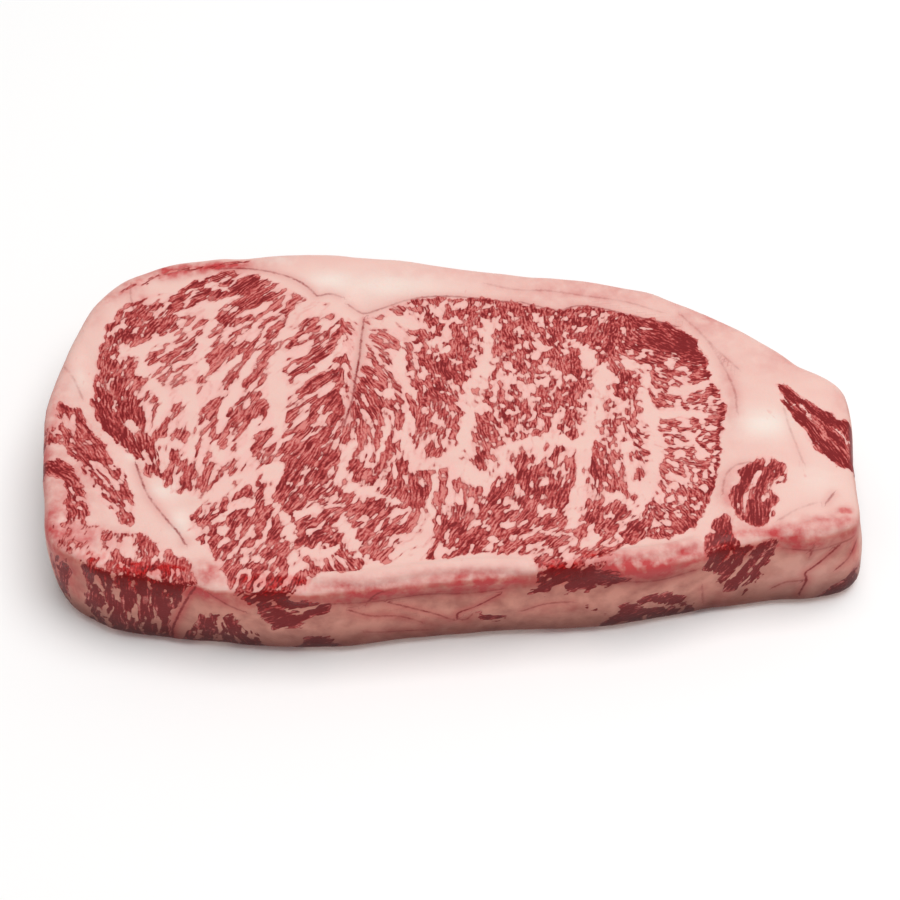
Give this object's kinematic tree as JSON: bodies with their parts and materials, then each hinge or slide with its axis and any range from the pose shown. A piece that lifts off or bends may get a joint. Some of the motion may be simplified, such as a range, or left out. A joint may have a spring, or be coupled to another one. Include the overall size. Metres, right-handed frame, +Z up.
{
  "type": "raw beef striploin steak",
  "caption": "Thick slice of raw, heavily marbled beef striploin with a fat cap, lying flat on its cut face.",
  "frame": {"origin": "middle of the foot of the bounding box, on the surface the steak lies on", "axes": "+Z up through the cut faces, +X along the slice towards the narrow tail, +Y towards the fat cap"},
  "size_m": [0.2176, 0.1174, 0.0298],
  "materials": {
    "raw_beef": "moist raw muscle and fat, softly glossy"
  },
  "bodies": {
    "root": {"striploin_steak": "raw_beef"}
  },
  "joints": []
}
